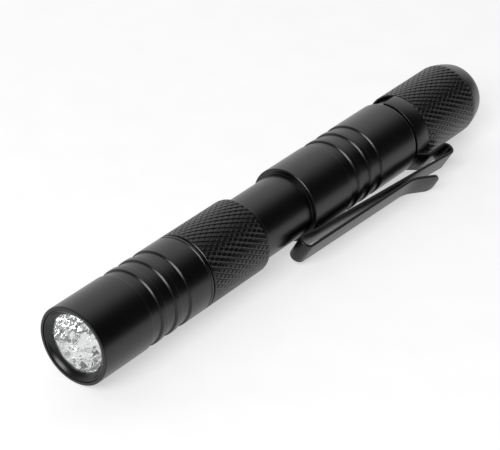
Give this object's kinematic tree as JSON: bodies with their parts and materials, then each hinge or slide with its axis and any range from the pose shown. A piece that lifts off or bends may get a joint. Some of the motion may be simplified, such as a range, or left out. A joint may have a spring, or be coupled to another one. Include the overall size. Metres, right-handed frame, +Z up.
{
  "type": "penlight",
  "caption": "Slim knurled aluminium penlight with a lens and reflector head, grooved barrel, swivelling spring clip, and a screw-on tail cap with a push button.",
  "frame": {"origin": "middle of the underside of the bounding box, on the table that the penlight lies on", "axes": "+X along the barrel from the front rim to the tail button, +Z up from the table, with the clip on the -Y side"},
  "size_m": [0.1302, 0.0226, 0.0165],
  "materials": {
    "black_anodised": "black anodised, satin",
    "clip_black": "black oxide on spring steel, satin",
    "lens_glass": "polished, coated",
    "reflector_bright": "bright polished, fine texture",
    "brass": "machined",
    "black_rubber": "matte",
    "button_rubber": "matte, fine grain",
    "white_plastic": "moulded",
    "led_package": "ceramic, matte",
    "led_silicone": "clear silicone",
    "led_board": "white solder mask",
    "wire_red": "insulated wire",
    "board_green": "green solder mask",
    "cell_jacket": "plain metallic jacket",
    "switch_grey": "moulded",
    "spring_steel": "bright wire"
  },
  "bodies": {
    "barrel": {"head_shell": "black_anodised", "bezel_ring": "black_anodised", "bezel_o_ring": "black_rubber", "lens_window": "lens_glass", "reflector": "reflector_bright", "led_centering_ring": "white_plastic", "led_emitter": "led_package", "led_dome": "led_silicone", "led_board": "led_board", "led_wires": "wire_red", "pill": "brass", "driver_board": "board_green", "driver_spring": "brass", "body_tube": "black_anodised", "head_o_ring": "black_rubber", "battery_front": "cell_jacket", "battery_rear": "cell_jacket", "tail_o_ring": "black_rubber"},
    "tail_contact": {"tail_spring": "spring_steel", "spring_seat": "brass"},
    "tail_cap": {"tail_cap": "black_anodised", "switch_retaining_ring": "brass", "switch_housing": "switch_grey"},
    "button": {"switch_boot": "button_rubber", "switch_plunger": "white_plastic", "switch_spring": "spring_steel"},
    "clip_base": {"clip_clamp": "clip_black"},
    "clip_arm": {"clip_arm": "clip_black"},
    "clip_tongue": {"clip_tongue": "clip_black"}
  },
  "joints": [
    {"name": "tail_cap_travel", "type": "slide", "parent": "barrel", "child": "tail_contact", "axis": [1, 0, 0], "range_m": [0, 0.005]},
    {"name": "tail_cap_turn", "type": "hinge", "parent": "tail_contact", "child": "tail_cap", "pos_m": [0.04113, 0.00306, 0.00825], "axis": [1, 0, 0], "range_deg": [0, 1800.5]},
    {"name": "button_press", "type": "slide", "parent": "tail_cap", "child": "button", "axis": [-1, 0, 0], "range_m": [0, 0.0014], "stiffness_N_per_m": 2000, "springref_m": -0.0005, "deforming": ["switch_spring"]},
    {"name": "clip_swivel", "type": "hinge", "parent": "barrel", "child": "clip_base", "pos_m": [0.03857, 0.00306, 0.00825], "axis": [1, 0, 0], "continuous": true},
    {"name": "clip_arm_flex", "type": "hinge", "parent": "clip_base", "child": "clip_arm", "pos_m": [0.04517, -0.00642, 0.00409], "axis": [0, -0.4018, 0.9157], "range_deg": [0, 4], "stiffness_Nm_per_rad": 2},
    {"name": "clip_tongue_flex", "type": "hinge", "parent": "clip_arm", "child": "clip_tongue", "pos_m": [-0.00509, -0.00575, 0.00438], "axis": [0, 0.4018, -0.9157], "range_deg": [0, 4], "stiffness_Nm_per_rad": 2.5}
  ],
  "couplings": [
    {"joint": "tail_cap_turn", "follows": "tail_cap_travel", "rad_per_m": 6283.2}
  ]
}
